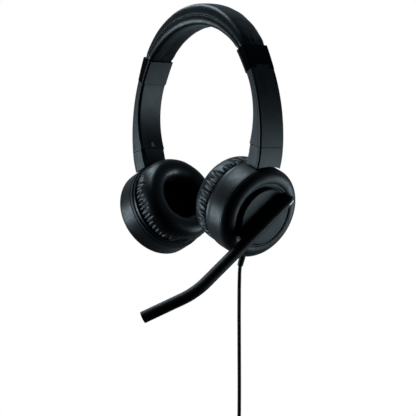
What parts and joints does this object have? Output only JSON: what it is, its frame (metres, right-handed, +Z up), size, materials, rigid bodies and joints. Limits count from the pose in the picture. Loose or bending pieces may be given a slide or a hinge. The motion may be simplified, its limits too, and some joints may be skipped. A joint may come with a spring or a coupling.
{
  "type": "office headset",
  "caption": "On-ear headset with padded headband, sliding arms, swivelling round ear cups, a swinging bent microphone boom and a hanging cord wound in a tied coil.",
  "frame": {"origin": "middle of the headband pad's underside, where the headset rests on the crown of the head", "axes": "+X to the wearer's left, -Y to the wearer's front, +Z up"},
  "size_m": [0.1573, 0.1171, 0.3986],
  "materials": {
    "leatherette": "smooth black artificial leather with a soft sheen",
    "cushion_foam": "open-cell grey foam",
    "spring_steel": "tempered spring steel",
    "wire_insulation": "thin black insulation",
    "gloss_black": "polished piano-black plastic",
    "matte_black": "fine matt moulded black plastic",
    "inner_plastic": "plain moulded black plastic",
    "black_screw": "black oxide steel",
    "pin_steel": "ground steel",
    "magnet_steel": "zinc-plated steel",
    "diaphragm_film": "thin translucent film",
    "grille_fabric": "black acoustic cloth",
    "board": "green solder mask",
    "mic_metal": "bare can",
    "mic_mesh": "black woven mesh",
    "indicator_white": "white light guide",
    "cord_rubber": "satin black elastomer",
    "tie_strap": "black hook-and-loop strap",
    "plug_metal": "nickel-plated sheet"
  },
  "bodies": {
    "headband": {"headband_cover": "leatherette", "headband_foam": "cushion_foam", "headband_spring": "spring_steel", "headband_wire": "wire_insulation", "left_end_cap_outer": "gloss_black", "right_end_cap_outer": "gloss_black", "left_end_cap_inner": "matte_black", "right_end_cap_inner": "matte_black", "end_cap_screws": "black_screw"},
    "left_arm": {"left_arm_outer_shell": "matte_black", "left_arm_inner_shell": "matte_black", "left_slider_strip": "spring_steel", "left_arm_screws": "black_screw"},
    "right_arm": {"right_arm_outer_shell": "matte_black", "right_arm_inner_shell": "matte_black", "right_slider_strip": "spring_steel", "right_arm_screws": "black_screw"},
    "left_yoke": {"left_yoke_outer_cover": "matte_black", "left_yoke_inner_cover": "matte_black", "left_yoke_screws": "black_screw", "left_swivel_pin": "pin_steel", "left_tilt_pin": "pin_steel"},
    "right_yoke": {"right_yoke_outer_cover": "matte_black", "right_yoke_inner_cover": "matte_black", "right_yoke_screws": "black_screw", "right_swivel_pin": "pin_steel", "right_tilt_pin": "pin_steel"},
    "left_cup": {"left_cup_housing": "matte_black", "left_front_ring": "matte_black", "left_baffle": "inner_plastic", "left_driver_basket": "inner_plastic", "left_driver_magnet": "magnet_steel", "left_driver_diaphragm": "diaphragm_film", "left_grille_cloth": "grille_fabric", "left_cushion_plate": "matte_black", "left_ear_cushion": "leatherette", "circuit_board": "board", "strain_relief": "cord_rubber", "cord": "cord_rubber", "cord_coil": "cord_rubber", "cord_tail": "cord_rubber", "cord_tie": "tie_strap", "usb_plug_grip": "cord_rubber", "usb_plug_shell": "plug_metal"},
    "right_cup": {"right_cup_housing": "matte_black", "right_front_ring": "matte_black", "right_baffle": "inner_plastic", "right_driver_basket": "inner_plastic", "right_driver_magnet": "magnet_steel", "right_driver_diaphragm": "diaphragm_film", "right_grille_cloth": "grille_fabric", "right_cushion_plate": "matte_black", "right_ear_cushion": "leatherette", "right_hub_cover": "matte_black"},
    "boom": {"hub_disc": "matte_black", "boom_arm": "matte_black", "boom_pivot": "pin_steel", "mic_capsule": "mic_metal", "mic_port_mesh": "mic_mesh", "indicator_light": "indicator_white"}
  },
  "joints": [
    {"name": "left_slider", "type": "hinge", "parent": "headband", "child": "left_arm", "pos_m": [-0.0817, 0, -0.1062], "axis": [0, 1, 0], "range_deg": [0, 8.59]},
    {"name": "right_slider", "type": "hinge", "parent": "headband", "child": "right_arm", "pos_m": [0.0817, 0, -0.1062], "axis": [0, -1, 0], "range_deg": [0, 8.59]},
    {"name": "left_swivel", "type": "hinge", "parent": "left_arm", "child": "left_yoke", "pos_m": [0.069, 0, -0.0931], "axis": [0.2706, 0, 0.9627], "range_deg": [-10, 50]},
    {"name": "right_swivel", "type": "hinge", "parent": "right_arm", "child": "right_yoke", "pos_m": [-0.069, 0, -0.0931], "axis": [0.2706, 0, -0.9627], "range_deg": [-10, 50]},
    {"name": "left_tilt", "type": "hinge", "parent": "left_yoke", "child": "left_cup", "pos_m": [0.06667, 0, -0.10345], "axis": [0, 1, 0], "range_deg": [-5, 5]},
    {"name": "right_tilt", "type": "hinge", "parent": "right_yoke", "child": "right_cup", "pos_m": [-0.06667, 0, -0.10345], "axis": [0, -1, 0], "range_deg": [-5, 5]},
    {"name": "boom_swing", "type": "hinge", "parent": "left_cup", "child": "boom", "pos_m": [0.059, 0, -0.142], "axis": [-0.9265, 0, 0.3762], "range_deg": [0, 270]}
  ]
}
